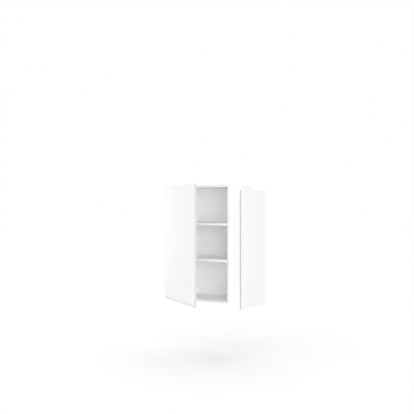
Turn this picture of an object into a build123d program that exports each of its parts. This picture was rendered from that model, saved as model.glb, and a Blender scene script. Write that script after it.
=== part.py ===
from build123d import *

import math
import os

# Hanging wall cabinet with one left-hung door, two loose shelves and a loose cover panel.
# Millimetres. +X is to the right seen from the front, +Y goes into the wall, +Z is up.
# The origin is the middle of the wall rail's rear face, so the wall is the plane y = 0.

# Clearance between pieces that fit in one another
FIT_SLACK = 0.1

# Carcass
CARCASS_WIDTH = 600.0
CARCASS_HEIGHT = 900.0
CARCASS_DEPTH = 320.0
BOARD = 16.0
BAND = 1.0
BAND_ROUNDING = 0.7
TOP_ABOVE_RAIL = 60.0

HALF_WIDTH = CARCASS_WIDTH / 2
INNER_HALF = HALF_WIDTH - BOARD
TOP_Z = TOP_ABOVE_RAIL
BOTTOM_Z = TOP_Z - CARCASS_HEIGHT
TOP_UNDER_Z = TOP_Z - BOARD
FLOOR_Z = BOTTOM_Z + BOARD
FRONT_Y = -CARCASS_DEPTH
BOARD_FRONT_Y = FRONT_Y + BAND
WALL_Y = 0.0

# Back panel, in a groove that leaves room behind it for the rail
BACK_THICKNESS = 3.0
BACK_REAR_Y = -16.0
BACK_FRONT_Y = BACK_REAR_Y - BACK_THICKNESS
GROOVE_DEPTH = 8.0
BACK_EDGE_SLACK = 0.5

# Loose shelves
SHELF_TOPS = {"shelf_upper": -232.0, "shelf_lower": -509.0}
SHELF_END_GAP = 1.0
SHELF_REAR_GAP = 1.0
SHELF_SETBACK = 3.0

# Shelf supports and the rows of holes they fit in
PIN_ROWS_Y = (-60.0, -262.0)
PIN_RADIUS = 2.4
PIN_HOLE_RADIUS = 2.5
PIN_HOLE_DEPTH = 9.0
PIN_SHANK = 8.0
PIN_DROP = 4.0
PIN_HEAD_REACH = 8.0
PIN_HEAD_HALF_WIDTH = 4.0
PIN_HEAD_HEIGHT = 6.5
PIN_HEAD_ROUNDING = 2.0
HOLE_PITCH = 32.0
HOLE_STEPS = (-2, -1, 0, 1, 2)

# Corner joints: wooden dowels, and cam bolts drawn in by cams
DOWEL_ROWS_Y = (-69.0, -251.0)
DOWEL_RADIUS = 3.9
DOWEL_HOLE_RADIUS = 4.0
DOWEL_IN_SIDE = 11.0
DOWEL_IN_BOARD = 22.0
DOWEL_END_SLACK = 1.0
CAM_ROWS_Y = (-37.0, -283.0)
CAM_FROM_END = 24.0
CAM_RADIUS = 7.4
CAM_POCKET_RADIUS = 7.5
CAM_HEIGHT = 11.5
CAM_POCKET_DEPTH = 12.5
CAM_MOUTH_RADIUS = 3.9
BOLT_THREAD_RADIUS = 2.9
BOLT_THREAD_HOLE_RADIUS = 3.0
BOLT_IN_SIDE = 10.0
BOLT_SHANK_RADIUS = 3.0
BOLT_NECK_RADIUS = 2.0
BOLT_HEAD_RADIUS = 3.4
BOLT_HEAD_LENGTH = 3.0
BOLT_BORE_RADIUS = 3.6
BOLT_BORE_END = 3.9
CAP_RADIUS = 9.0
CAP_SEAT_RADIUS = 9.1
CAP_THICKNESS = 0.8
CAP_SLOT_LENGTH = 7.0
CAP_SLOT_WIDTH = 1.2

# Door
DOOR_THICKNESS = 18.0
DOOR_GAP = 2.0
DOOR_SIDE_REVEAL = 2.0
DOOR_END_REVEAL = 1.5
FINGER_BEVEL_HEIGHT = 17.0
FINGER_BEVEL_DEPTH = 8.0
DOOR_OPEN_ANGLE = 30.0
BUFFER_RADIUS = 4.0
BUFFER_THICKNESS = 1.9
BUFFER_ROUNDING = 1.2
BUFFER_FROM_EDGE = 8.0
BUFFER_FROM_END = 30.0

DOOR_LEFT_X = -HALF_WIDTH + DOOR_SIDE_REVEAL
DOOR_RIGHT_X = HALF_WIDTH - DOOR_SIDE_REVEAL
DOOR_BACK_Y = FRONT_Y - DOOR_GAP
DOOR_FRONT_Y = DOOR_BACK_Y - DOOR_THICKNESS
DOOR_TOP_Z = TOP_Z - DOOR_END_REVEAL
DOOR_BOTTOM_Z = BOTTOM_Z + DOOR_END_REVEAL

# Single-pivot cup hinges: the knuckle lies in the gap at the outer front corner
HINGE_FROM_END = 100.0
HINGE_HEIGHTS_Z = (TOP_Z - HINGE_FROM_END, BOTTOM_Z + HINGE_FROM_END)
HINGE_X = DOOR_LEFT_X
HINGE_Y = FRONT_Y - DOOR_GAP / 2
KNUCKLE_RADIUS = 1.8
KNUCKLE_BORE = 1.05
KNUCKLE_NOTCH = 2.2
KNUCKLE_HALF = 27.0
KNUCKLE_MIDDLE_HALF = 9.0
KNUCKLE_END_GAP = 0.3
NOTCH_END_GAP = 0.6
HINGE_PIN_RADIUS = 1.0
HINGE_PIN_HEAD_RADIUS = 1.6
HINGE_PIN_HEAD = 0.5
LEAF = 0.8
LEAF_CORNER = 5.0
ARM_REACH = 48.0
ARM_SCREW_Y = (-306.0, -284.0)
ARM_SCREW_HALF_SPACING = 15.0
CUP_X = HINGE_X + 24.0
CUP_RADIUS = 17.3
CUP_WALL = 1.0
CUP_DEPTH = 12.0
CUP_HOLE_RADIUS = 17.5
CUP_HOLE_DEPTH = 12.2
FLANGE_REACH = 45.0
CUP_SCREW_X = CUP_X + 9.0
CUP_SCREW_HALF_SPACING = 22.5

# Wood screws
SCREW_SHANK_RADIUS = 1.6
SCREW_HOLE_RADIUS = 1.7
SCREW_CLEAR_RADIUS = 1.8
SCREW_HEAD_RADIUS = 3.2
SCREW_HEAD = 1.2
SCREW_LENGTH = 12.0
SCREW_HEAD_ROUNDING = 0.8
SCREW_CROSS_REACH = 1.6
SCREW_CROSS_WIDTH = 0.6
SCREW_CROSS_DEPTH = 0.8

# Wall rail and the brackets that hook over it
RAIL_PLATE = 2.0
RAIL_HALF_LENGTH = 278.0
RAIL_HALF_HEIGHT = 18.0
RAIL_SHELF_REACH = 8.0
RAIL_LIP_TOP = 26.0
RAIL_HOLES_X = (-240.0, -80.0, 80.0, 240.0)
RAIL_HOLE_RADIUS = 3.5
BRACKET_WIDTH = 42.0
BRACKET_FRONT_Y = -12.0
BRACKET_BOTTOM_Z = -30.0
BRACKET_TOP_Z = RAIL_LIP_TOP + RAIL_PLATE
BRACKET_CORNER = 8.0
HOOK_REAR_Y = -3.5
HOOK_BOTTOM_Z = 20.0
BRACKET_LEG_REAR_Y = -1.0
BRACKET_SCREW_Y = -6.0
BRACKET_SCREWS_Z = (-20.0, 10.0)

# Cover panel for the right side, stood off and lower than where it is fitted
COVER_THICKNESS = 10.0
COVER_OUTER_X = 432.4
COVER_DEPTH = 360.0
COVER_TOP_Z = 19.0
COVER_HEIGHT = 881.0


# How a cylinder is set on its own base rather than on its middle
FROM_BASE = (Align.CENTER, Align.CENTER, Align.MIN)


def block(x_span, y_span, z_span):
    """A box between two corners, given as three (from, to) pairs in any order."""
    spans = [sorted(span) for span in (x_span, y_span, z_span)]
    sizes = [high - low for low, high in spans]
    middle = [(high + low) / 2 for low, high in spans]
    return Pos(*middle) * Box(*sizes)


def rod(radius, start, end):
    """A cylinder of the given radius from one point to another."""
    begin, stop = Vector(*start), Vector(*end)
    line = stop - begin
    plane = Plane(origin=begin, z_dir=line.normalized())
    return extrude(plane * Circle(radius), amount=line.length)


def cut_all(body, cutters):
    """The body with every cutter taken out of it."""
    for cutter in cutters:
        body = body - cutter
    return body


def fused(pieces):
    """One solid out of pieces that overlap or touch."""
    whole = pieces[0]
    for piece in pieces[1:]:
        whole = whole + piece
    return whole


def edges_rounded(solid, along, across, end, radius):
    """The solid with its edges along one axis, at one end of another (0 or -1), rounded."""
    return fillet(solid.edges().filter_by(along).group_by(across)[end], radius)


def screw(head_base, direction):
    """A cross-headed wood screw: head_base is where the head's underside meets the surface."""
    shank = Cylinder(SCREW_SHANK_RADIUS, SCREW_LENGTH, align=FROM_BASE)
    head = Pos(0, 0, -SCREW_HEAD) * Cylinder(SCREW_HEAD_RADIUS, SCREW_HEAD, align=FROM_BASE)
    head = fillet(head.edges().group_by(Axis.Z)[0], SCREW_HEAD_ROUNDING)
    slot_z = (-SCREW_HEAD, -SCREW_HEAD + SCREW_CROSS_DEPTH)
    long_span = (-SCREW_CROSS_REACH, SCREW_CROSS_REACH)
    short_span = (-SCREW_CROSS_WIDTH / 2, SCREW_CROSS_WIDTH / 2)
    slots = [block(long_span, short_span, slot_z), block(short_span, long_span, slot_z)]
    place = Plane(origin=head_base, z_dir=direction).location
    return place * cut_all(fused([shank, head]), slots)


def screw_hole(head_base, direction, radius):
    """The hole that a screw's shank sits in."""
    base, along = Vector(*head_base), Vector(*direction)
    return rod(radius, base, base + along * (SCREW_LENGTH + FIT_SLACK))


def back_groove():
    """The slab that cuts the back panel's groove in all four boards."""
    reach_x = INNER_HALF + GROOVE_DEPTH
    return block(
        (-reach_x, reach_x),
        (BACK_FRONT_Y - FIT_SLACK, BACK_REAR_Y + FIT_SLACK),
        (FLOOR_Z - GROOVE_DEPTH, TOP_UNDER_Z + GROOVE_DEPTH),
    )


def board_middles():
    """The mid-thickness heights of the bottom and top boards."""
    return (BOTTOM_Z + BOARD / 2, TOP_Z - BOARD / 2)


def shelf_pin_centres():
    """The heights of the four pins under each shelf."""
    return [top - BOARD - PIN_DROP for top in SHELF_TOPS.values()]


def front_band(x_span, front, z_span):
    """A strip of edge band on a board's front, its two long front edges rounded."""
    strip = block(x_span, (front, front + BAND), z_span)
    width, height = x_span[1] - x_span[0], z_span[1] - z_span[0]
    along = Axis.X if abs(width) > abs(height) else Axis.Z
    return edges_rounded(strip, along, Axis.Y, 0, BAND_ROUNDING)


def side_cutters(side):
    """Everything bored in one side board; side is -1 for the left, 1 for the right."""
    inner = side * INNER_HALF
    cutters = [back_groove()]
    for pin_z in shelf_pin_centres():
        for y in PIN_ROWS_Y:
            for step in HOLE_STEPS:
                z = pin_z + step * HOLE_PITCH
                deep = side * (INNER_HALF + PIN_HOLE_DEPTH)
                cutters.append(rod(PIN_HOLE_RADIUS, (inner, y, z), (deep, y, z)))
    for z in board_middles():
        for y in DOWEL_ROWS_Y:
            deep = side * (INNER_HALF + DOWEL_IN_SIDE + DOWEL_END_SLACK)
            cutters.append(rod(DOWEL_HOLE_RADIUS, (inner, y, z), (deep, y, z)))
        for y in CAM_ROWS_Y:
            deep = side * (INNER_HALF + BOLT_IN_SIDE + DOWEL_END_SLACK)
            cutters.append(rod(BOLT_THREAD_HOLE_RADIUS, (inner, y, z), (deep, y, z)))
    for z in BRACKET_SCREWS_Z:
        seat = (side * (INNER_HALF - RAIL_PLATE), BRACKET_SCREW_Y, z)
        cutters.append(screw_hole(seat, (side, 0, 0), SCREW_HOLE_RADIUS))
    return cutters


def knuckle_notches():
    """The room round the hinge knuckles, for the boards on both sides of the gap."""
    half = KNUCKLE_HALF + HINGE_PIN_HEAD + NOTCH_END_GAP
    return [
        rod(KNUCKLE_NOTCH, (HINGE_X, HINGE_Y, z - half), (HINGE_X, HINGE_Y, z + half))
        for z in HINGE_HEIGHTS_Z
    ]


def arm_screw_seats():
    """Where the hinge arms' screw heads sit, on the arm's inner face."""
    x = -INNER_HALF + LEAF
    spots = []
    for z in HINGE_HEIGHTS_Z:
        for shift in (-ARM_SCREW_HALF_SPACING, ARM_SCREW_HALF_SPACING):
            for y in ARM_SCREW_Y:
                spots.append((x, y, z + shift))
    return spots


def cup_screw_seats():
    """Where the cup screws' heads sit, on the cup flange."""
    y = DOOR_BACK_Y + LEAF
    spots = []
    for z in HINGE_HEIGHTS_Z:
        for shift in (-CUP_SCREW_HALF_SPACING, CUP_SCREW_HALF_SPACING):
            spots.append((CUP_SCREW_X, y, z + shift))
    return spots


def side_board(side):
    """One side board, with its bores, its groove and the left one's hinge notches."""
    board = block(
        (side * INNER_HALF, side * HALF_WIDTH), (BOARD_FRONT_Y, WALL_Y), (BOTTOM_Z, TOP_Z)
    )
    cutters = side_cutters(side)
    if side < 0:
        cutters += knuckle_notches()
        cutters += [screw_hole(s, (-1, 0, 0), SCREW_HOLE_RADIUS) for s in arm_screw_seats()]
    return cut_all(board, cutters)


def cross_board(z_low, outward):
    """The top or bottom board; outward is 1 where its hidden face is the upper one."""
    z_high = z_low + BOARD
    board = block((-INNER_HALF, INNER_HALF), (BOARD_FRONT_Y, WALL_Y), (z_low, z_high))
    hidden_face = z_high if outward > 0 else z_low
    middle = z_low + BOARD / 2
    cutters = [back_groove()]
    for side in (-1, 1):
        end = side * INNER_HALF
        for y in DOWEL_ROWS_Y:
            deep = side * (INNER_HALF - DOWEL_IN_BOARD - DOWEL_END_SLACK)
            cutters.append(rod(DOWEL_HOLE_RADIUS, (end, y, middle), (deep, y, middle)))
        for y in CAM_ROWS_Y:
            x = side * (INNER_HALF - CAM_FROM_END)
            bottom = hidden_face - outward * CAM_POCKET_DEPTH
            cap_floor = hidden_face - outward * CAP_THICKNESS
            cutters.append(rod(CAM_POCKET_RADIUS, (x, y, bottom), (x, y, hidden_face)))
            cutters.append(rod(CAP_SEAT_RADIUS, (x, y, cap_floor), (x, y, hidden_face)))
            cutters.append(rod(BOLT_BORE_RADIUS, (x, y, middle), (end, y, middle)))
    return cut_all(board, cutters)


def carcass_bands():
    """The four front edge bands of the carcass, the left one notched for the hinges."""
    full_height = (BOTTOM_Z, TOP_Z)
    left = front_band((-HALF_WIDTH, -INNER_HALF), FRONT_Y, full_height)
    bands = [cut_all(left, knuckle_notches())]
    bands.append(front_band((INNER_HALF, HALF_WIDTH), FRONT_Y, full_height))
    for z_span in ((TOP_UNDER_Z, TOP_Z), (BOTTOM_Z, FLOOR_Z)):
        bands.append(front_band((-INNER_HALF, INNER_HALF), FRONT_Y, z_span))
    return bands


def back_panel():
    """The thin back in its grooves."""
    half = INNER_HALF + GROOVE_DEPTH - BACK_EDGE_SLACK
    low = FLOOR_Z - GROOVE_DEPTH + BACK_EDGE_SLACK
    high = TOP_UNDER_Z + GROOVE_DEPTH - BACK_EDGE_SLACK
    return block((-half, half), (BACK_FRONT_Y, BACK_REAR_Y), (low, high))


def shelf(top):
    """One loose shelf without its front band."""
    half = INNER_HALF - SHELF_END_GAP
    front = FRONT_Y + SHELF_SETBACK + BAND
    return block((-half, half), (front, BACK_FRONT_Y - SHELF_REAR_GAP), (top - BOARD, top))


def shelf_band(top):
    """A shelf's front edge band."""
    half = INNER_HALF - SHELF_END_GAP
    return front_band((-half, half), FRONT_Y + SHELF_SETBACK, (top - BOARD, top))


def shelf_pins():
    """Four flat-topped pins under each shelf."""
    pins = []
    for z in shelf_pin_centres():
        shelf_under = z + PIN_DROP
        for side in (-1, 1):
            for y in PIN_ROWS_Y:
                wall = side * INNER_HALF
                deep = side * (INNER_HALF + PIN_SHANK)
                tip = side * (INNER_HALF - PIN_HEAD_REACH)
                head = block(
                    (wall, tip),
                    (y - PIN_HEAD_HALF_WIDTH, y + PIN_HEAD_HALF_WIDTH),
                    (shelf_under - PIN_HEAD_HEIGHT, shelf_under),
                )
                head = edges_rounded(head, Axis.X, Axis.Z, 0, PIN_HEAD_ROUNDING)
                pins.append(rod(PIN_RADIUS, (wall, y, z), (deep, y, z)) + head)
    return pins


def dowels():
    """Two wooden dowels in each corner."""
    pieces = []
    for z in board_middles():
        for side in (-1, 1):
            start = side * (INNER_HALF - DOWEL_IN_BOARD)
            end = side * (INNER_HALF + DOWEL_IN_SIDE)
            for y in DOWEL_ROWS_Y:
                pieces.append(rod(DOWEL_RADIUS, (start, y, z), (end, y, z)))
    return pieces


def cam_bolts():
    """Two bolts in each corner, threaded in the side with the head inside the cam."""
    pieces = []
    for z in board_middles():
        for side in (-1, 1):
            face = side * INNER_HALF
            tip = side * (INNER_HALF + BOLT_IN_SIDE)
            cam_edge = side * (INNER_HALF - CAM_FROM_END + CAM_RADIUS)
            head_start = side * (INNER_HALF - CAM_FROM_END + BOLT_HEAD_LENGTH)
            head_end = side * (INNER_HALF - CAM_FROM_END)
            for y in CAM_ROWS_Y:
                pieces.append(
                    fused(
                        [
                            rod(BOLT_THREAD_RADIUS, (face, y, z), (tip, y, z)),
                            rod(BOLT_SHANK_RADIUS, (cam_edge, y, z), (face, y, z)),
                            rod(BOLT_NECK_RADIUS, (head_start, y, z), (cam_edge, y, z)),
                            rod(BOLT_HEAD_RADIUS, (head_end, y, z), (head_start, y, z)),
                        ]
                    )
                )
    return pieces


def cam_places():
    """Each cam's centre line, its hidden board face, its side and the outward sense."""
    places = []
    for hidden_face, outward in ((BOTTOM_Z, -1), (TOP_Z, 1)):
        for side in (-1, 1):
            for y in CAM_ROWS_Y:
                places.append((side * (INNER_HALF - CAM_FROM_END), y, hidden_face, side, outward))
    return places


def cams():
    """The cams, each with the mouth that takes the bolt's head."""
    pieces = []
    for x, y, hidden_face, side, outward in cam_places():
        outer = hidden_face - outward * (CAP_THICKNESS + FIT_SLACK)
        middle = hidden_face - outward * BOARD / 2
        body = rod(CAM_RADIUS, (x, y, outer - outward * CAM_HEIGHT), (x, y, outer))
        start = x - side * BOLT_BORE_END
        mouth = rod(CAM_MOUTH_RADIUS, (start, y, middle), (x + side * BOARD, y, middle))
        pieces.append(body - mouth)
    return pieces


def cam_caps():
    """Flat caps over the cams, flush with the boards' hidden faces."""
    pieces = []
    for x, y, hidden_face, _side, outward in cam_places():
        cap_floor = hidden_face - outward * CAP_THICKNESS
        cap = rod(CAP_RADIUS, (x, y, cap_floor), (x, y, hidden_face))
        slot = block(
            (x - CAP_SLOT_LENGTH / 2, x + CAP_SLOT_LENGTH / 2),
            (y - CAP_SLOT_WIDTH / 2, y + CAP_SLOT_WIDTH / 2),
            (hidden_face - outward * CAP_THICKNESS / 2, hidden_face),
        )
        pieces.append(cap - slot)
    return pieces


def knuckle(z_low, z_high):
    """A length of hinge barrel about the door's axis, not yet bored."""
    return rod(KNUCKLE_RADIUS, (HINGE_X, HINGE_Y, z_low), (HINGE_X, HINGE_Y, z_high))


def hinge_arms():
    """The fixed leaves: two outer knuckles, a strap over the board's edge, a leg inside."""
    pieces = []
    strap_rear = FRONT_Y
    strap_front = FRONT_Y - LEAF
    inner_face = -INNER_HALF
    for z in HINGE_HEIGHTS_Z:
        low, high = z - KNUCKLE_HALF, z + KNUCKLE_HALF
        middle_low, middle_high = z - KNUCKLE_MIDDLE_HALF, z + KNUCKLE_MIDDLE_HALF
        strap = block((HINGE_X, inner_face + LEAF), (strap_front, strap_rear), (low, high))
        leg = block(
            (inner_face, inner_face + LEAF), (strap_front, FRONT_Y + ARM_REACH), (low, high)
        )
        leg = edges_rounded(leg, Axis.X, Axis.Y, -1, LEAF_CORNER)
        clear = rod(
            KNUCKLE_NOTCH, (HINGE_X, HINGE_Y, middle_low), (HINGE_X, HINGE_Y, middle_high)
        )
        bore = rod(KNUCKLE_BORE, (HINGE_X, HINGE_Y, low), (HINGE_X, HINGE_Y, high))
        leaf = fused([strap - clear, leg, knuckle(low, middle_low), knuckle(middle_high, high)])
        pieces.append(leaf - bore)
    holes = [screw_hole(s, (-1, 0, 0), SCREW_CLEAR_RADIUS) for s in arm_screw_seats()]
    return [cut_all(piece, holes) for piece in pieces]


def hinge_pins():
    """The headed pins through the knuckles."""
    pieces = []
    for z in HINGE_HEIGHTS_Z:
        low, high = z - KNUCKLE_HALF, z + KNUCKLE_HALF
        shaft = rod(HINGE_PIN_RADIUS, (HINGE_X, HINGE_Y, low), (HINGE_X, HINGE_Y, high))
        heads = [
            rod(HINGE_PIN_HEAD_RADIUS, (HINGE_X, HINGE_Y, start), (HINGE_X, HINGE_Y, end))
            for start, end in ((low - HINGE_PIN_HEAD, low), (high, high + HINGE_PIN_HEAD))
        ]
        pieces.append(fused([shaft] + heads))
    return pieces


def hinge_cups():
    """The door leaves: the middle knuckle, a flange on the door's back and the cup."""
    pieces = []
    flange_y = (DOOR_BACK_Y, DOOR_BACK_Y + LEAF)
    cup_floor_y = DOOR_BACK_Y - CUP_DEPTH
    for z in HINGE_HEIGHTS_Z:
        low = z - KNUCKLE_MIDDLE_HALF + KNUCKLE_END_GAP
        high = z + KNUCKLE_MIDDLE_HALF - KNUCKLE_END_GAP
        tongue_end = HINGE_X + KNUCKLE_NOTCH
        tongue = block((HINGE_X, tongue_end), flange_y, (low, high))
        flange = block(
            (tongue_end, HINGE_X + FLANGE_REACH), flange_y, (z - KNUCKLE_HALF, z + KNUCKLE_HALF)
        )
        flange = edges_rounded(flange, Axis.Y, Axis.X, -1, LEAF_CORNER)
        cup = rod(CUP_RADIUS, (CUP_X, cup_floor_y, z), (CUP_X, DOOR_BACK_Y, z))
        whole = fused([knuckle(low, high), tongue, flange, cup])
        hollow = rod(
            CUP_RADIUS - CUP_WALL,
            (CUP_X, cup_floor_y + CUP_WALL, z),
            (CUP_X, DOOR_BACK_Y + LEAF, z),
        )
        bore = rod(KNUCKLE_BORE, (HINGE_X, HINGE_Y, low), (HINGE_X, HINGE_Y, high))
        pieces.append(whole - hollow - bore)
    holes = [screw_hole(s, (0, -1, 0), SCREW_CLEAR_RADIUS) for s in cup_screw_seats()]
    return [cut_all(piece, holes) for piece in pieces]


def door_slab(inset):
    """The door's slab with its finger bevel, drawn in by an inset on its four edges."""
    bevel_length = math.hypot(FINGER_BEVEL_HEIGHT, FINGER_BEVEL_DEPTH)
    low = DOOR_BOTTOM_Z + inset
    high = DOOR_TOP_Z - inset
    run_out = (bevel_length - FINGER_BEVEL_DEPTH) / FINGER_BEVEL_HEIGHT
    bevel_y = DOOR_FRONT_Y + FINGER_BEVEL_DEPTH + inset * run_out
    bevel_z = DOOR_BOTTOM_Z + FINGER_BEVEL_HEIGHT + inset * bevel_length / FINGER_BEVEL_DEPTH
    left = DOOR_LEFT_X + inset
    profile = Polyline(
        (left, DOOR_BACK_Y, low),
        (left, bevel_y, low),
        (left, DOOR_FRONT_Y, bevel_z),
        (left, DOOR_FRONT_Y, high),
        (left, DOOR_BACK_Y, high),
        close=True,
    )
    return extrude(make_face(profile), amount=DOOR_RIGHT_X - inset - left, dir=(1, 0, 0))


def door_panel():
    """The door's board, bored for the cups and notched for the knuckles."""
    cutters = knuckle_notches()
    for z in HINGE_HEIGHTS_Z:
        floor_y = DOOR_BACK_Y - CUP_HOLE_DEPTH
        cutters.append(rod(CUP_HOLE_RADIUS, (CUP_X, floor_y, z), (CUP_X, DOOR_BACK_Y, z)))
    cutters += [screw_hole(s, (0, -1, 0), SCREW_HOLE_RADIUS) for s in cup_screw_seats()]
    return cut_all(door_slab(BAND), cutters)


def door_bands():
    """Edge bands round the door: two full-height ones, with the top and bottom between."""
    frame = door_slab(0.0) - door_slab(BAND)
    y_span = (DOOR_FRONT_Y, DOOR_BACK_Y)
    z_span = (DOOR_BOTTOM_Z, DOOR_TOP_Z)
    middle_z = (DOOR_BOTTOM_Z + DOOR_TOP_Z) / 2
    between = (DOOR_LEFT_X + BAND, DOOR_RIGHT_X - BAND)
    left = frame & block((DOOR_LEFT_X, DOOR_LEFT_X + BAND), y_span, z_span)
    right = frame & block((DOOR_RIGHT_X - BAND, DOOR_RIGHT_X), y_span, z_span)
    top = frame & block(between, y_span, (middle_z, DOOR_TOP_Z))
    bottom = frame & block(between, y_span, (DOOR_BOTTOM_Z, middle_z))
    return [
        cut_all(edges_rounded(left, Axis.Z, Axis.X, 0, BAND_ROUNDING), knuckle_notches()),
        edges_rounded(right, Axis.Z, Axis.X, -1, BAND_ROUNDING),
        edges_rounded(top, Axis.X, Axis.Z, -1, BAND_ROUNDING),
        edges_rounded(bottom, Axis.X, Axis.Z, 0, BAND_ROUNDING),
    ]


def door_buffers():
    """Two soft domed buffers on the door's back, at its free edge."""
    x = DOOR_RIGHT_X - BUFFER_FROM_EDGE
    pieces = []
    for z in (DOOR_TOP_Z - BUFFER_FROM_END, DOOR_BOTTOM_Z + BUFFER_FROM_END):
        disc = rod(BUFFER_RADIUS, (x, DOOR_BACK_Y, z), (x, DOOR_BACK_Y + BUFFER_THICKNESS, z))
        pieces.append(fillet(disc.edges().group_by(Axis.Y)[-1], BUFFER_ROUNDING))
    return pieces


def wall_rail():
    """The steel rail: a web against the wall, a shelf and an upturned lip."""
    x_span = (-RAIL_HALF_LENGTH, RAIL_HALF_LENGTH)
    shelf_z = (RAIL_HALF_HEIGHT - RAIL_PLATE, RAIL_HALF_HEIGHT)
    web = block(x_span, (-RAIL_PLATE, WALL_Y), (-RAIL_HALF_HEIGHT, RAIL_HALF_HEIGHT))
    ledge = block(x_span, (-RAIL_SHELF_REACH, WALL_Y), shelf_z)
    lip = block(
        x_span,
        (-RAIL_SHELF_REACH, -RAIL_SHELF_REACH + RAIL_PLATE),
        (shelf_z[0], RAIL_LIP_TOP),
    )
    holes = [
        rod(RAIL_HOLE_RADIUS, (x, -RAIL_PLATE, 0), (x, WALL_Y, 0)) for x in RAIL_HOLES_X
    ]
    return cut_all(fused([web, ledge, lip]), holes)


def bracket_screw_seats(side):
    """Where one bracket's screw heads sit."""
    x = side * (INNER_HALF - RAIL_PLATE)
    return [(x, BRACKET_SCREW_Y, z) for z in BRACKET_SCREWS_Z]


def bracket(side):
    """A hanging bracket: a plate behind the back panel that hooks down over the rail's lip."""
    x_span = (side * (INNER_HALF - BRACKET_WIDTH), side * INNER_HALF)
    z_span = (BRACKET_BOTTOM_Z, BRACKET_TOP_Z)
    front = block(x_span, (BRACKET_FRONT_Y, BRACKET_FRONT_Y + RAIL_PLATE), z_span)
    inner_edges = front.edges().filter_by(Axis.Y).group_by(Axis.X)[0 if side > 0 else -1]
    front = fillet(inner_edges.group_by(Axis.Z)[0], BRACKET_CORNER)
    top = block(x_span, (BRACKET_FRONT_Y, HOOK_REAR_Y), (RAIL_LIP_TOP, BRACKET_TOP_Z))
    hook = block(x_span, (HOOK_REAR_Y - RAIL_PLATE, HOOK_REAR_Y), (HOOK_BOTTOM_Z, BRACKET_TOP_Z))
    leg = block(
        (side * (INNER_HALF - RAIL_PLATE), side * INNER_HALF),
        (BRACKET_FRONT_Y, BRACKET_LEG_REAR_Y),
        z_span,
    )
    holes = [
        screw_hole(s, (side, 0, 0), SCREW_CLEAR_RADIUS) for s in bracket_screw_seats(side)
    ]
    return cut_all(fused([front, top, hook, leg]), holes)


def swung(solids):
    """The door's pieces, turned about the hinge axis to where the door stands open."""
    out_and_back = Pos(HINGE_X, HINGE_Y, 0) * Rot(0, 0, -DOOR_OPEN_ANGLE)
    return [out_and_back * Pos(-HINGE_X, -HINGE_Y, 0) * solid for solid in solids]


def cover_panel():
    """The right side's cover panel and its front edge band."""
    x_span = (COVER_OUTER_X - COVER_THICKNESS, COVER_OUTER_X)
    z_span = (COVER_TOP_Z - COVER_HEIGHT, COVER_TOP_Z)
    front = WALL_Y - COVER_DEPTH
    board = block(x_span, (front + BAND, WALL_Y), z_span)
    return board, front_band(x_span, front, z_span)


cover_board, cover_band = cover_panel()
bracket_seats = [(spot, side) for side in (-1, 1) for spot in bracket_screw_seats(side)]

nodes = {
    "side_left": [side_board(-1)],
    "side_right": [side_board(1)],
    "top_board": [cross_board(TOP_UNDER_Z, 1)],
    "bottom_board": [cross_board(BOTTOM_Z, -1)],
    "back_panel": [back_panel()],
    "carcass_edge_bands": carcass_bands(),
    "shelf_edge_bands": [shelf_band(top) for top in SHELF_TOPS.values()],
    "shelf_pins": shelf_pins(),
    "dowels": dowels(),
    "cam_bolts": cam_bolts(),
    "cams": cams(),
    "cam_caps": cam_caps(),
    "hinge_arms": hinge_arms(),
    "hinge_arm_screws": [screw(spot, (-1, 0, 0)) for spot in arm_screw_seats()],
    "hinge_pins": hinge_pins(),
    "hinge_cups": swung(hinge_cups()),
    "hinge_cup_screws": swung([screw(spot, (0, -1, 0)) for spot in cup_screw_seats()]),
    "door_panel": swung([door_panel()]),
    "door_edge_bands": swung(door_bands()),
    "door_buffers": swung(door_buffers()),
    "wall_rail": [wall_rail()],
    "bracket_left": [bracket(-1)],
    "bracket_right": [bracket(1)],
    "bracket_screws": [screw(spot, (side, 0, 0)) for spot, side in bracket_seats],
    "cover_panel": [cover_board],
    "cover_edge_band": [cover_band],
}
for shelf_name, shelf_top in SHELF_TOPS.items():
    nodes[shelf_name] = [shelf(shelf_top)]

os.makedirs("parts", exist_ok=True)
for name, solids in nodes.items():
    shapes = [solid for piece in solids for solid in piece.solids()]
    whole = shapes[0] if len(shapes) == 1 else Compound(shapes)
    export_step(whole, f"parts/{name}.step")
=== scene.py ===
import math

import bpy
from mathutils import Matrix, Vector

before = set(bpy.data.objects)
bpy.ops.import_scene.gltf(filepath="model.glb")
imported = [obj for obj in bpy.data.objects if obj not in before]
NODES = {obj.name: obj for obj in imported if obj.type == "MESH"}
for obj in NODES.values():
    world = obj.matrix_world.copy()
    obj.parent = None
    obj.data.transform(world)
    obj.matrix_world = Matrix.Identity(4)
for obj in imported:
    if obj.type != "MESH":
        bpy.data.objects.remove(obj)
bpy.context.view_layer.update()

# ---- The view: a level camera to the right of the cabinet's front ----
CAMERA_PLACE = (3.137, -4.630, -0.1075)
CAMERA_HEADING = math.radians(35.19)
CAMERA_LENS = 59.55
SENSOR_WIDTH = 36.0
CAMERA_FAR = 100.0

# ---- The looks: colours are linear, noise scales are per metre and relief depths in metres ----
# Noise under DARK_END takes the darker colour, and noise over LIGHT_END the lighter.
DARK_END = 0.3
LIGHT_END = 0.7
CLOUD_DARKENING = 0.985
FINE_DETAIL = 1.0
# A normal this far along an axis belongs to the board's face, and one less far to its cut edge.
FACE_NORMAL_PART = 0.5

# White boards: one melamine, but each tone was matched on its own in the main view; the darker
# level and right-side tones are painted shade on the same white.
UPRIGHT_TONE = 0.93
RIGHT_SIDE_SHADED_TONE = 0.89
LEVEL_SHADED_TONE = 0.84
BOARD_CLOUD_SCALE = 9.0
BOARD_ROUGHNESS = (0.36, 0.46)
PEARL_SCALE = 1400.0
PEARL_DETAIL = 2.0
PEARL_DEPTH = 0.00004
CHIP_SCALE = 560.0
CHIP_BROWNS = (
    (0.15, (0.38, 0.26, 0.15)),
    (0.5, (0.54, 0.39, 0.24)),
    (0.9, (0.68, 0.53, 0.35)),
)

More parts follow.
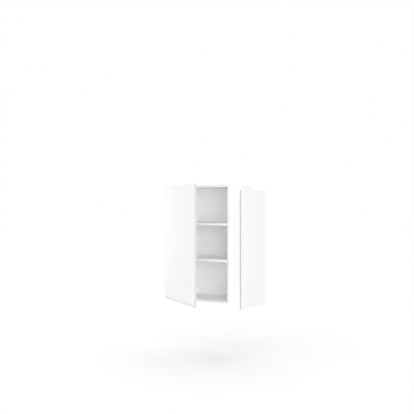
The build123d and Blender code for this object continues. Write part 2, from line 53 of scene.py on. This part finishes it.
# Back panel: lacquered in front, bare fibre behind
BACK_TONE = 0.97
BACK_CLOUD_SCALE = 7.0
BACK_ROUGHNESS = (0.35, 0.45)
FIBRE_SCALE = 600.0
FIBRE_DETAIL = 6.0
FIBRE_DEPTH = 0.00003
FIBRE_DARK = (0.20, 0.12, 0.07)
FIBRE_LIGHT = (0.36, 0.24, 0.14)

# Gloss door and cover panel
DOOR_TONE = 0.878
DOOR_ROUGHNESS = 0.08
COVER_TONE = 0.90
COVER_ROUGHNESS = 0.16
GLOSS_CLOUD_SCALE = 4.0
GLOSS_DARKENING = 0.99
GLOSS_PATCH_SCALE = 30.0
GLOSS_SPREAD = 0.2
PEEL_SCALE = 260.0
PEEL_DEPTH = 0.00001
# The door's inner face is matt; it is drawn 30 degrees open, so its normal is turned as far.
DOOR_OPEN = math.radians(30.0)
DOOR_INNER_NORMAL = (math.sin(DOOR_OPEN), math.cos(DOOR_OPEN), 0.0)
MATT_FACE_COSINE = 0.9
MATT_EXTRA_ROUGHNESS = 0.34

# Plastic bands, caps and buffers
PLASTIC_CLOUD_SCALE = 120.0
PLASTIC_DARKENING = 0.96
PLASTIC_SPREAD = 0.15
STIPPLE_SCALE = 2200.0
STIPPLE_DEPTH = 0.00003

# Plated and galvanised steel
METAL_DARKENING = 0.92
METAL_SPREAD = 0.3
METAL_GRAIN_DEPTH = 0.00002
NICKEL_GRAIN_STRETCH = (1.0, 1.0, 0.1)

# Beech dowels, their grain drawn out along X
BEECH_SCALE = 500.0
BEECH_STRETCH = (0.1, 1.0, 1.0)
BEECH_DARK = (0.55, 0.38, 0.22)
BEECH_LIGHT = (0.72, 0.54, 0.35)
BEECH_ROUGHNESS = 0.6
BEECH_DEPTH = 0.00003

# ---- The studio ----
FLOOR_Z = -1.285
FLOOR_HALF = 30.0
FLOOR_COLOUR = (0.93, 0.93, 0.93, 1.0)
WORLD_STRENGTH = 1.0
LIGHT_BOUNCES = 16
OVERHEAD_STRENGTH = 0.30
OVERHEAD_ANGLE = math.radians(70.0)
LIGHT_AIM = (0.0, -0.16, -0.39)
INSIDE_NODES = (
    "side_left",
    "top_board",
    "bottom_board",
    "back_panel",
    "shelf_upper",
    "shelf_lower",
    "shelf_edge_bands",
    "carcass_edge_bands",
    "hinge_arms",
    "shelf_pins",
)
# Each soft lamp: its name, azimuth and elevation in degrees, distance and size in metres,
# watts, and the nodes that it lights.
LAMPS = (
    ("inside_lamp", 45.0, 4.0, 4.5, 1.8, 63.5, INSIDE_NODES),
    ("shelf_lamp", 40.0, 20.0, 3.5, 1.2, 12.0, ("shelf_lower", "bottom_board")),
    ("side_lamp", 30.0, 0.0, 2.0, 0.6, 23.5, ("side_right",)),
    ("panel_lamp", 60.0, 0.0, 1.5, 0.6, 0.75, ("cover_panel",)),
    ("door_lamp", -64.0, 12.0, 1.1, 0.5, 1.05, ("door_panel",)),
)


def new_material(name):
    """An empty node material with its shader and output, and its node tree."""
    material = bpy.data.materials.new(name)
    material.use_nodes = True
    tree = material.node_tree
    tree.nodes.clear()
    output = tree.nodes.new("ShaderNodeOutputMaterial")
    shader = tree.nodes.new("ShaderNodeBsdfPrincipled")
    tree.links.new(shader.outputs["BSDF"], output.inputs["Surface"])
    return material, tree, shader


def add(tree, kind, **settings):
    """A new node of that kind, with its attributes set."""
    node = tree.nodes.new(kind)
    for key, value in settings.items():
        setattr(node, key, value)
    return node


def grey(tone):
    """A neutral colour of that tone."""
    return (tone, tone, tone)


def darker(colour, factor):
    """The colour with every channel scaled down."""
    return tuple(channel * factor for channel in colour)


def object_place(tree):
    """The socket that gives a point's place in the object's own metres."""
    return add(tree, "ShaderNodeTexCoord").outputs["Object"]


def noise(tree, place, scale, detail=3.0, stretch=None):
    """A noise texture's grey socket; stretch squeezes its grain along each axis."""
    if stretch:
        mapping = add(tree, "ShaderNodeMapping")
        mapping.inputs["Scale"].default_value = stretch
        tree.links.new(place, mapping.inputs["Vector"])
        place = mapping.outputs["Vector"]
    texture = add(tree, "ShaderNodeTexNoise")
    texture.inputs["Scale"].default_value = scale
    texture.inputs["Detail"].default_value = detail
    tree.links.new(place, texture.inputs["Vector"])
    return texture.outputs["Fac"]


def ramp(tree, factor, stops):
    """A colour ramp over a grey socket; stops are (position, colour) pairs."""
    node = add(tree, "ShaderNodeValToRGB")
    elements = node.color_ramp.elements
    while len(elements) < len(stops):
        elements.new(stops[-1][0])
    for element, (position, colour) in zip(elements, stops):
        element.position = position
        element.color = (*colour, 1.0)
    tree.links.new(factor, node.inputs["Fac"])
    return node.outputs["Color"]


def two_tone(tree, factor, dark, light):
    """A colour that goes from dark to light with a grey socket."""
    return ramp(tree, factor, [(DARK_END, dark), (LIGHT_END, light)])


def spread(tree, factor, low, high):
    """A grey socket spread linearly between two values."""
    node = add(tree, "ShaderNodeMapRange")
    node.inputs["To Min"].default_value = low
    node.inputs["To Max"].default_value = high
    tree.links.new(factor, node.inputs["Value"])
    return node.outputs["Result"]


def bump(tree, shader, height, distance):
    """Surface relief from a grey socket, distance in metres."""
    node = add(tree, "ShaderNodeBump")
    node.inputs["Distance"].default_value = distance
    tree.links.new(height, node.inputs["Height"])
    tree.links.new(node.outputs["Normal"], shader.inputs["Normal"])


def normal_axis(tree, axis):
    """The face's normal along one axis, as a grey socket."""
    geometry = add(tree, "ShaderNodeNewGeometry")
    split = add(tree, "ShaderNodeSeparateXYZ")
    tree.links.new(geometry.outputs["True Normal"], split.inputs["Vector"])
    return split.outputs[axis]


def passes(tree, socket, comparison, threshold):
    """1 where a grey socket is over or under the threshold, and 0 elsewhere."""
    test = add(tree, "ShaderNodeMath", operation=comparison)
    tree.links.new(socket, test.inputs[0])
    test.inputs[1].default_value = threshold
    return test.outputs[0]


def cut_edge(tree, face_axis):
    """1 on a board's cut edges, and 0 on the two faces that look along face_axis."""
    size = add(tree, "ShaderNodeMath", operation="ABSOLUTE")
    tree.links.new(normal_axis(tree, face_axis), size.inputs[0])
    return passes(tree, size.outputs[0], "LESS_THAN", FACE_NORMAL_PART)


def mixed(tree, factor, first, second):
    """A colour mixed between two sockets by a grey socket."""
    node = add(tree, "ShaderNodeMix", data_type="RGBA")
    tree.links.new(factor, node.inputs["Factor"])
    tree.links.new(first, node.inputs["A"])
    tree.links.new(second, node.inputs["B"])
    return next(s for s in node.outputs if s.type == "RGBA")


def chipboard(tree, place):
    """Pressed wood flakes in browns."""
    flakes = add(tree, "ShaderNodeTexVoronoi", feature="F1")
    flakes.inputs["Scale"].default_value = CHIP_SCALE
    tree.links.new(place, flakes.inputs["Vector"])
    return ramp(tree, flakes.outputs["Color"], CHIP_BROWNS)


def melamine(name, face_axis, tone):
    """White melamine board with a fine pearl texture and raw chipboard on its cut edges."""
    material, tree, shader = new_material(name)
    place = object_place(tree)
    cloud = noise(tree, place, BOARD_CLOUD_SCALE)
    white = two_tone(tree, cloud, darker(grey(tone), CLOUD_DARKENING), grey(tone))
    colour = mixed(tree, cut_edge(tree, face_axis), white, chipboard(tree, place))
    tree.links.new(colour, shader.inputs["Base Color"])
    tree.links.new(spread(tree, cloud, *BOARD_ROUGHNESS), shader.inputs["Roughness"])
    bump(tree, shader, noise(tree, place, PEARL_SCALE, detail=PEARL_DETAIL), PEARL_DEPTH)
    return material


def roughened(tree, shine, matt_face):
    """The roughness socket with more added where the face looks along matt_face.

    The normal is the object's own, so the same face stays matt however the body turns.
    """
    along = add(tree, "ShaderNodeVectorMath", operation="DOT_PRODUCT")
    tree.links.new(add(tree, "ShaderNodeTexCoord").outputs["Normal"], along.inputs[0])
    along.inputs[1].default_value = matt_face
    facing = passes(tree, along.outputs["Value"], "GREATER_THAN", MATT_FACE_COSINE)
    rougher = add(tree, "ShaderNodeMath", operation="MULTIPLY_ADD")
    tree.links.new(facing, rougher.inputs[0])
    rougher.inputs[1].default_value = MATT_EXTRA_ROUGHNESS
    tree.links.new(shine, rougher.inputs[2])
    return rougher.outputs[0]


def gloss(name, tone, roughness, matt_face=None):
    """High-gloss white with a faint orange peel; a face that looks along matt_face is matt."""
    material, tree, shader = new_material(name)
    place = object_place(tree)
    cloud = noise(tree, place, GLOSS_CLOUD_SCALE)
    white = two_tone(tree, cloud, darker(grey(tone), GLOSS_DARKENING), grey(tone))
    tree.links.new(white, shader.inputs["Base Color"])
    patches = noise(tree, place, GLOSS_PATCH_SCALE)
    low, high = roughness * (1 - GLOSS_SPREAD), roughness * (1 + GLOSS_SPREAD)
    shine = spread(tree, patches, low, high)
    if matt_face:
        shine = roughened(tree, shine, matt_face)
    tree.links.new(shine, shader.inputs["Roughness"])
    bump(tree, shader, noise(tree, place, PEEL_SCALE, detail=FINE_DETAIL), PEEL_DEPTH)
    return material


def plastic(name, colour, roughness):
    """Moulded or extruded plastic with a faint stipple."""
    material, tree, shader = new_material(name)
    place = object_place(tree)
    cloud = noise(tree, place, PLASTIC_CLOUD_SCALE)
    tone = two_tone(tree, cloud, darker(colour, PLASTIC_DARKENING), colour)
    tree.links.new(tone, shader.inputs["Base Color"])
    low, high = roughness * (1 - PLASTIC_SPREAD), roughness * (1 + PLASTIC_SPREAD)
    tree.links.new(spread(tree, cloud, low, high), shader.inputs["Roughness"])
    bump(tree, shader, noise(tree, place, STIPPLE_SCALE, detail=FINE_DETAIL), STIPPLE_DEPTH)
    return material


def metal(name, colour, roughness, grain_scale, stretch=None):
    """Plated or galvanised steel with a directional or spangled grain."""
    material, tree, shader = new_material(name)
    place = object_place(tree)
    grain = noise(tree, place, grain_scale, stretch=stretch)
    tone = two_tone(tree, grain, darker(colour, METAL_DARKENING), colour)
    tree.links.new(tone, shader.inputs["Base Color"])
    low, high = roughness * (1 - METAL_SPREAD), roughness * (1 + METAL_SPREAD)
    tree.links.new(spread(tree, grain, low, high), shader.inputs["Roughness"])
    shader.inputs["Metallic"].default_value = 1.0
    bump(tree, shader, grain, METAL_GRAIN_DEPTH)
    return material


def hardboard(name, tone):
    """Thin hardboard, lacquered white on its front and bare brown behind and on its edges."""
    material, tree, shader = new_material(name)
    place = object_place(tree)
    cloud = noise(tree, place, BACK_CLOUD_SCALE)
    white = two_tone(tree, cloud, darker(grey(tone), CLOUD_DARKENING), grey(tone))
    fibre = noise(tree, place, FIBRE_SCALE, detail=FIBRE_DETAIL)
    brown = two_tone(tree, fibre, FIBRE_DARK, FIBRE_LIGHT)
    bare = passes(tree, normal_axis(tree, "Y"), "GREATER_THAN", -FACE_NORMAL_PART)
    tree.links.new(mixed(tree, bare, white, brown), shader.inputs["Base Color"])
    tree.links.new(spread(tree, cloud, *BACK_ROUGHNESS), shader.inputs["Roughness"])
    bump(tree, shader, fibre, FIBRE_DEPTH)
    return material


def beech(name):
    """Turned beech with grain along X."""
    material, tree, shader = new_material(name)
    grain = noise(tree, object_place(tree), BEECH_SCALE, stretch=BEECH_STRETCH)
    colour = two_tone(tree, grain, BEECH_DARK, BEECH_LIGHT)
    tree.links.new(colour, shader.inputs["Base Color"])
    shader.inputs["Roughness"].default_value = BEECH_ROUGHNESS
    bump(tree, shader, grain, BEECH_DEPTH)
    return material


def wear(node, material):
    """Gives a CAD node that material in every slot."""
    mesh = NODES[node].data
    mesh.materials.clear()
    mesh.materials.append(material)


upright_board = melamine("melamine_upright", "X", UPRIGHT_TONE)
# The level boards and the right side wear darker copies of the one white: painted shade.
level_board_shaded = melamine("melamine_level_painted_shade", "Z", LEVEL_SHADED_TONE)
wear("side_left", upright_board)
wear("side_right", melamine("melamine_right_painted_shade", "X", RIGHT_SIDE_SHADED_TONE))
for node in ("top_board", "bottom_board", "shelf_upper", "shelf_lower"):
    wear(node, level_board_shaded)
wear("back_panel", hardboard("back_hardboard", BACK_TONE))
wear("door_panel", gloss("door_gloss_lacquer", DOOR_TONE, DOOR_ROUGHNESS, DOOR_INNER_NORMAL))
wear("cover_panel", gloss("cover_gloss_foil", COVER_TONE, COVER_ROUGHNESS))

# Each plastic node: its material's name, colour and roughness
PLASTICS = {
    # The carcass, door and shelf bands are the boards' white darkened to copy their shaded
    # edges: painted shade.
    "carcass_edge_bands": ("carcass_band_painted_shade", grey(0.77), 0.4),
    "door_edge_bands": ("door_band_painted_shade", grey(0.80), 0.35),
    "shelf_edge_bands": ("shelf_band_painted_shade", grey(0.865), 0.4),
    "cover_edge_band": ("cover_band_grey", grey(0.64), 0.45),
    "cam_caps": ("cap_plastic_white", (0.85, 0.85, 0.84), 0.35),
    "door_buffers": ("buffer_clear", (0.75, 0.77, 0.78), 0.3),
}
for node, settings in PLASTICS.items():
    wear(node, plastic(*settings))

# Metals: name, colour, roughness, grain per metre and how the grain is drawn out
nickel = metal("nickel_plate", (0.78, 0.77, 0.75), 0.25, 300.0, NICKEL_GRAIN_STRETCH)
zinc = metal("zinc_plate", (0.70, 0.71, 0.73), 0.35, 900.0)
galvanised = metal("galvanised_steel", (0.66, 0.68, 0.70), 0.42, 90.0)
for node in ("hinge_arms", "hinge_cups", "hinge_pins", "shelf_pins"):
    wear(node, nickel)
for node in ("hinge_arm_screws", "hinge_cup_screws", "bracket_screws", "cam_bolts", "cams"):
    wear(node, zinc)
for node in ("wall_rail", "bracket_left", "bracket_right"):
    wear(node, galvanised)
wear("dowels", beech("beech_dowel"))


def make_floor():
    """A plain pale floor."""
    mesh = bpy.data.meshes.new("studio_floor")
    signs = ((-1, -1), (1, -1), (1, 1), (-1, 1))
    corners = [(x * FLOOR_HALF, y * FLOOR_HALF, FLOOR_Z) for x, y in signs]
    mesh.from_pydata(corners, [], [(0, 1, 2, 3)])
    floor = bpy.data.objects.new("studio_floor", mesh)
    bpy.context.collection.objects.link(floor)
    material, tree, shader = new_material("floor_white")
    shader.inputs["Base Color"].default_value = FLOOR_COLOUR
    shader.inputs["Roughness"].default_value = 1.0
    shader.inputs["Specular IOR Level"].default_value = 0.0
    mesh.materials.append(material)
    return floor


def make_world():
    """Even white light from all round."""
    world = bpy.data.worlds.new("studio_world")
    bpy.context.scene.world = world
    world.use_nodes = True
    background = world.node_tree.nodes["Background"]
    background.inputs["Color"].default_value = (1.0, 1.0, 1.0, 1.0)
    background.inputs["Strength"].default_value = WORLD_STRENGTH


def nodes_group(name, objects):
    """A collection of those objects, which a light is linked to."""
    group = bpy.data.collections.new(name)
    for member in objects:
        group.objects.link(member)
    return group


def make_lamp(name, azimuth, elevation, distance, size, watts, nodes):
    """A soft square lamp that looks at the middle of the cabinet and lights only those nodes.

    The floor keeps its even light and its one soft shadow, because no lamp is linked to it.
    """
    data = bpy.data.lights.new(name, "AREA")
    data.shape = "SQUARE"
    data.size = size
    data.energy = watts
    lamp = bpy.data.objects.new(name, data)
    turn, rise = math.radians(azimuth), math.radians(elevation)
    flat = distance * math.cos(rise)
    height = distance * math.sin(rise)
    away = Vector((flat * math.sin(turn), -flat * math.cos(turn), height))
    lamp.location = Vector(LIGHT_AIM) + away
    lamp.rotation_euler = away.to_track_quat("Z", "Y").to_euler()
    lamp.visible_camera = False
    lamp.visible_glossy = False
    bpy.context.collection.objects.link(lamp)
    lit = nodes_group(name + "_nodes", [NODES[node] for node in nodes])
    lamp.light_linking.receiver_collection = lit


def make_overhead(floor):
    """A broad light from straight above that whitens the floor around the soft shadow."""
    data = bpy.data.lights.new("overhead_light", "SUN")
    data.energy = OVERHEAD_STRENGTH
    data.angle = OVERHEAD_ANGLE
    overhead = bpy.data.objects.new("overhead_light", data)
    bpy.context.collection.objects.link(overhead)
    overhead.light_linking.receiver_collection = nodes_group("overhead_floor", [floor])


def make_camera():
    """A level camera at the viewing place."""
    data = bpy.data.cameras.new("view_camera")
    data.lens = CAMERA_LENS
    data.sensor_width = SENSOR_WIDTH
    data.clip_end = CAMERA_FAR
    camera = bpy.data.objects.new("view_camera", data)
    camera.location = CAMERA_PLACE
    camera.rotation_euler = (math.radians(90.0), 0.0, CAMERA_HEADING)
    bpy.context.collection.objects.link(camera)
    bpy.context.scene.camera = camera


floor = make_floor()
make_world()
make_overhead(floor)
for lamp in LAMPS:
    make_lamp(*lamp)
make_camera()
bpy.context.scene.view_settings.view_transform = "Standard"
bpy.context.scene.cycles.max_bounces = LIGHT_BOUNCES
bpy.context.scene.cycles.diffuse_bounces = LIGHT_BOUNCES
